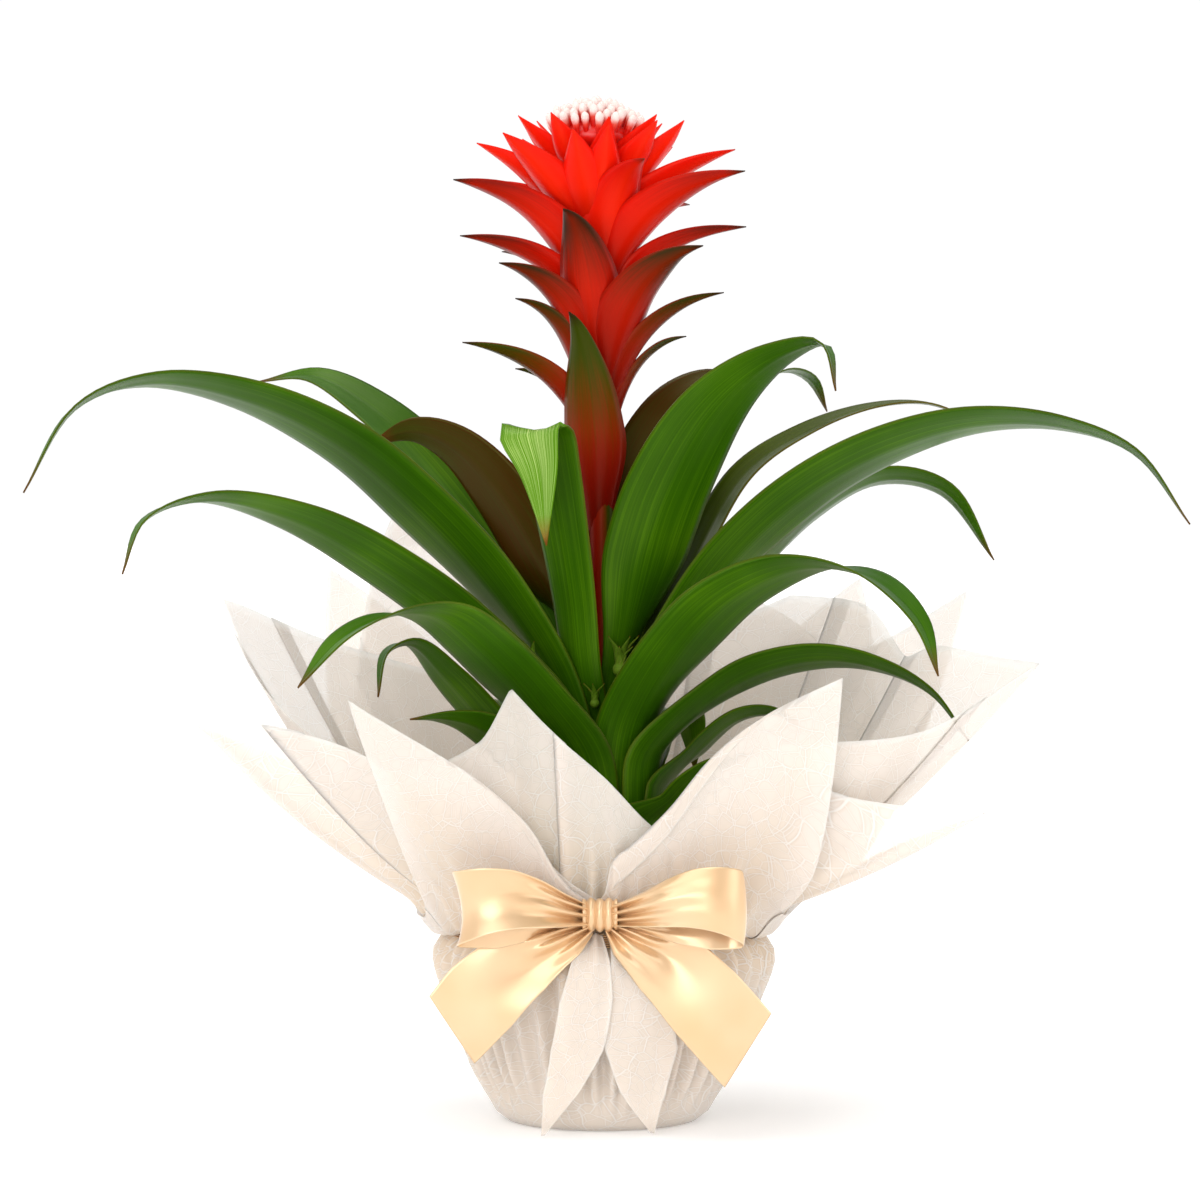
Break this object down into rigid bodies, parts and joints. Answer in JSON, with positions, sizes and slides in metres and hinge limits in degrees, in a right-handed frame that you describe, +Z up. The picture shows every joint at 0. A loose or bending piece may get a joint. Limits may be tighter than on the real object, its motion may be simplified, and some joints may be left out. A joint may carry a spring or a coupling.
{
  "type": "potted guzmania",
  "caption": "Potted bromeliad with arching strap leaves and a red flower spike, in a fabric-wrapped pot with a satin bow.",
  "frame": {"origin": "centre of the round flat underside that the wrapped pot rests on", "axes": "+Z up along the flower stalk, -Y to the front where the bow is, +X to the right as seen from the front"},
  "size_m": [0.5027, 0.3097, 0.4619],
  "materials": {
    "green_leaf": "glossy mid-green leaf with long grain",
    "dark_inner_leaf": "glossy dark olive-brown young leaf",
    "red_bract": "smooth red bract, green and brown towards the tips",
    "floret": "smooth white-pink buds on red bases",
    "young_shoot": "satin, pale green to reddish",
    "wrap_fabric": "thin cream non-woven fabric with fine criss-cross fibres",
    "satin_ribbon": "pale gold satin",
    "pot_plastic": "matt terracotta-brown plastic",
    "soil": "dark crumbly potting mix"
  },
  "bodies": {
    "root": {"leaf_inner_left": "dark_inner_leaf", "leaf_inner_right": "dark_inner_leaf", "leaf_broad_right": "green_leaf", "leaf_back_upright": "green_leaf", "leaf_front": "green_leaf", "leaf_back_left": "green_leaf", "leaf_back_right": "green_leaf", "leaf_left_long": "green_leaf", "leaf_right_olive": "green_leaf", "leaf_right_long": "green_leaf", "leaf_left_low": "green_leaf", "leaf_right_behind": "green_leaf", "leaf_back_arched": "green_leaf", "leaf_front_right": "green_leaf", "leaf_front_left": "green_leaf", "leaf_back_low": "green_leaf", "leaf_left_drooping": "green_leaf", "leaf_right_low": "green_leaf", "leaf_back_hanging": "green_leaf", "leaf_back_left_low": "green_leaf", "leaf_left_small": "green_leaf", "leaf_right_small": "green_leaf", "leaf_right_lowest": "green_leaf", "leaf_back_lowest": "green_leaf", "flower_spike": "red_bract", "side_shoot_right": "young_shoot", "side_shoot_left": "young_shoot", "side_shoot_front": "young_shoot", "floret_head": "floret", "nursery_pot": "pot_plastic", "potting_soil": "soil", "wrap_outer_sheet": "wrap_fabric", "wrap_middle_sheet": "wrap_fabric", "wrap_inner_sheet": "wrap_fabric", "bow_loop_left": "satin_ribbon", "bow_loop_right": "satin_ribbon", "bow_knot": "satin_ribbon", "ribbon_tail_left": "satin_ribbon", "ribbon_tail_right": "satin_ribbon", "wrap_point_left": "wrap_fabric", "wrap_point_right": "wrap_fabric", "ribbon_band": "satin_ribbon"}
  },
  "joints": []
}
